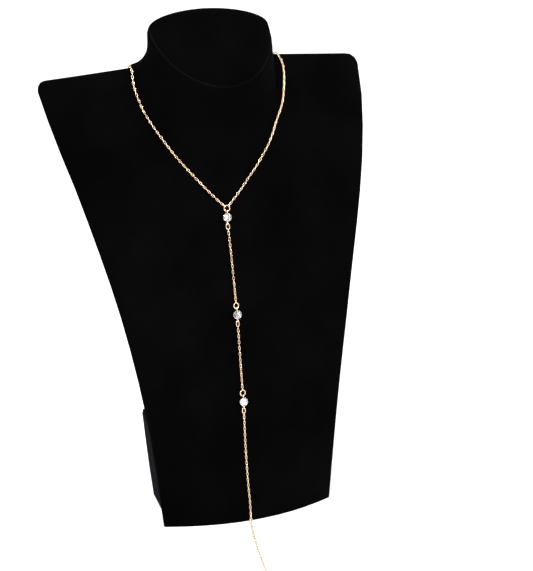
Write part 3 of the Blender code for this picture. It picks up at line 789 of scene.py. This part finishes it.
def foil_material():
    """Silver foil on the back of each stone, with painted dark reflections: a facet here and there
    is painted near black.
    """
    material, made, shader = new_material("foil")
    where = made.add("ShaderNodeTexCoord").outputs["Object"]
    facet = made.add("ShaderNodeNewGeometry").outputs["True Normal"]
    painted_dark_chance = made.add("ShaderNodeTexWhiteNoise", {"Vector": facet})
    # About a quarter of the back facets, picked at random by their direction, are painted dark as
    # reflections.
    silver_and_painted_dark = made.tones(painted_dark_chance.outputs["Value"], PAINTED_DARK_FACET_STEPS, FOIL_AND_PAINTED_DARK_TONES)
    silver_and_painted_dark.color_ramp.interpolation = "CONSTANT"
    made.feed(shader, "Base Color", silver_and_painted_dark)
    haze = made.noise(where, FOIL_HAZE_SCALE)
    made.feed(shader, "Roughness", made.between(haze.outputs["Fac"], FOIL_ROUGHNESS))
    shader.inputs["Metallic"].default_value = 1.0
    return material


def velvet_material(name, colours):
    """Velvet: deep pile that only catches light at grazing angles, brushed in soft patches."""
    material, made, shader = new_material(name)
    where = made.add("ShaderNodeTexCoord").outputs["Object"]
    brushed = made.noise(where, VELVET_PATCH_SCALE, 4.0)
    made.feed(shader, "Base Color", made.tones(brushed.outputs["Fac"], VELVET_BLEND, colours))
    pile = made.noise(where, VELVET_PILE_SCALE, 2.0)
    rows = made.noise(where, VELVET_ROW_SCALE, 3.0)
    height = made.math("ADD", pile.outputs["Fac"], rows.outputs["Fac"])
    bump = made.add("ShaderNodeBump", {
        "Height": height, "Strength": VELVET_PILE_STRENGTH, "Distance": VELVET_PILE_DEPTH})
    made.feed(shader, "Normal", bump)
    shader.inputs["Roughness"].default_value = VELVET_ROUGHNESS
    shader.inputs["Specular IOR Level"].default_value = VELVET_SPECULAR
    shader.inputs["Sheen Weight"].default_value = SHEEN_WEIGHT
    shader.inputs["Sheen Roughness"].default_value = SHEEN_ROUGHNESS
    shader.inputs["Sheen Tint"].default_value = SHEEN_TINT
    return material


def floor_material():
    material, _, shader = new_material("pale_floor")
    shader.inputs["Base Color"].default_value = FLOOR_TONE
    shader.inputs["Roughness"].default_value = FLOOR_ROUGHNESS
    shader.inputs["Specular IOR Level"].default_value = FLOOR_SPECULAR
    return material


def build_neck_chain(route):
    edge_on = math.pi / 2
    front = hooked(JUMP_RING, END_LINK)
    middle = route.total * CLASP_SHARE
    left_back = middle - clasp_eye_reach() - hooked(CLASP_EYE, END_LINK)
    catch = middle + hooked(CLASP_RING, CATCH_RING)
    right_back = catch + hooked(CATCH_RING, END_LINK)
    right_front = route.total - front
    clasp_piece("spring_ring_clasp", route.frame(middle))
    wire_piece("left_front_link", END_LINK, route.frame(front, edge_on))
    wire_piece("left_back_link", END_LINK, route.frame(left_back, edge_on))
    wire_piece("catch_ring", CATCH_RING, route.frame(catch, edge_on))
    wire_piece("right_back_link", END_LINK, route.frame(right_back))
    wire_piece("right_front_link", END_LINK, route.frame(right_front, edge_on))
    fill_chain("left_links", route, front, left_back, "neck_chain_left")
    fill_chain("right_links", route, right_back, right_front, "neck_chain_right")


def fill_chain(name, route, first, last, replaced):
    """As many links as fit between two end links, each a quarter turn on from the one before."""
    start = first + hooked(END_LINK, CHAIN_LINK)
    end = last - hooked(END_LINK, CHAIN_LINK)
    gaps = round((end - start) / LINK_PITCH)
    chain_links(name, route, start, gaps + 1, (end - start) / gaps, 0.0, math.pi / 2, replaced)


def build_drop(route):
    edge_on = math.pi / 2
    bezel_half = BEZEL_DIAMETER / 2 + BEZEL_EYE.length / 2 - SOLDER_OVERLAP
    ring_at = 0.0
    for station in range(len(DROP_CHAINS) + 1):
        number = station + 1
        roll = RING_ROLLS[station]
        wire_piece(f"jump_ring_{number}", JUMP_RING, route.frame(ring_at, roll))
        bezel_at = ring_at + hooked(JUMP_RING, BEZEL_EYE) + bezel_half
        bezel_piece(f"bezel_{number}", route.frame(bezel_at))
        stone_piece(f"crystal_{number}", route.frame(bezel_at))
        lower_at = bezel_at + bezel_half + hooked(BEZEL_EYE, LOWER_RING)
        wire_piece(f"lower_ring_{number}", LOWER_RING, route.frame(lower_at, roll))
        if station < len(DROP_CHAINS):
            links, quarter_turns = DROP_CHAINS[station]
            first = lower_at + hooked(LOWER_RING, CHAIN_LINK)
            twist = 0.5 * math.pi * quarter_turns / (links - 1)
            chain_links(f"drop_links_{number}", route, first, links, LINK_PITCH, edge_on,
                        edge_on + twist, f"drop_chain_{number}")
            ring_at = first + (links - 1) * LINK_PITCH + hooked(CHAIN_LINK, JUMP_RING)
    top_link = lower_at + hooked(LOWER_RING, END_LINK)
    wire_piece("tail_top_link", END_LINK, route.frame(top_link, edge_on))
    wire_piece("tail_end_link", END_LINK, route.frame(route.total, edge_on))
    fill_chain("tail_links", route, top_link, route.total, "tail_chain")


def area_light(name, place, power):
    data = bpy.data.lights.new(name, "AREA")
    data.shape = "DISK"
    data.size = LIGHT_SIZE
    data.energy = power
    light = bpy.data.objects.new(name, data)
    light.location = place
    light.rotation_euler = (LIGHT_AIM - place).to_track_quat("-Z", "Y").to_euler()
    bpy.context.scene.collection.objects.link(light)


def build_stage():
    bm = bmesh.new()
    bmesh.ops.create_grid(bm, x_segments=1, y_segments=1, size=FLOOR_REACH)
    floor = mesh_object("floor", bm, [FLOOR], smooth=False)
    world = bpy.data.worlds.new("studio")
    bpy.context.scene.world = world
    world.use_nodes = True
    sky = world.node_tree.nodes["Background"]
    sky.inputs["Color"].default_value = SKY_TONE
    sky.inputs["Strength"].default_value = SKY_STRENGTH
    area_light("key", KEY_PLACE, KEY_POWER)
    area_light("fill", FILL_PLACE, FILL_POWER)
    bpy.context.scene.view_settings.view_transform = "Standard"


set_camera()
GOLD = plated_metal("gold", GOLD_TONES)
# This second, paler gold is a painted highlight for the bezel cups.
PAINTED_HIGHLIGHT_CUP_GOLD = plated_metal("gold_painted_highlight_cup", PAINTED_HIGHLIGHT_CUP_TONES)
CRYSTAL = crystal_material()
FOIL = foil_material()
VELVET = velvet_material("velvet", VELVET_TONES)
# This paler velvet is a painted highlight for the neck's top rim.
PAINTED_RIM_HIGHLIGHT_VELVET = velvet_material("velvet_painted_rim_highlight", PAINTED_RIM_HIGHLIGHT_TONES)
FLOOR = floor_material()
LINKS = link_tree()

surface = BVHTree.FromObject(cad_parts["neck_bust"], bpy.context.evaluated_depsgraph_get())
velvet_cover("velvet_bust", "neck_bust")
velvet_cover("velvet_foot", "rear_foot")
seam_piece(surface)
build_neck_chain(Route(neck_points(surface), surface))
build_drop(Route(drop_points(surface), surface))
build_stage()
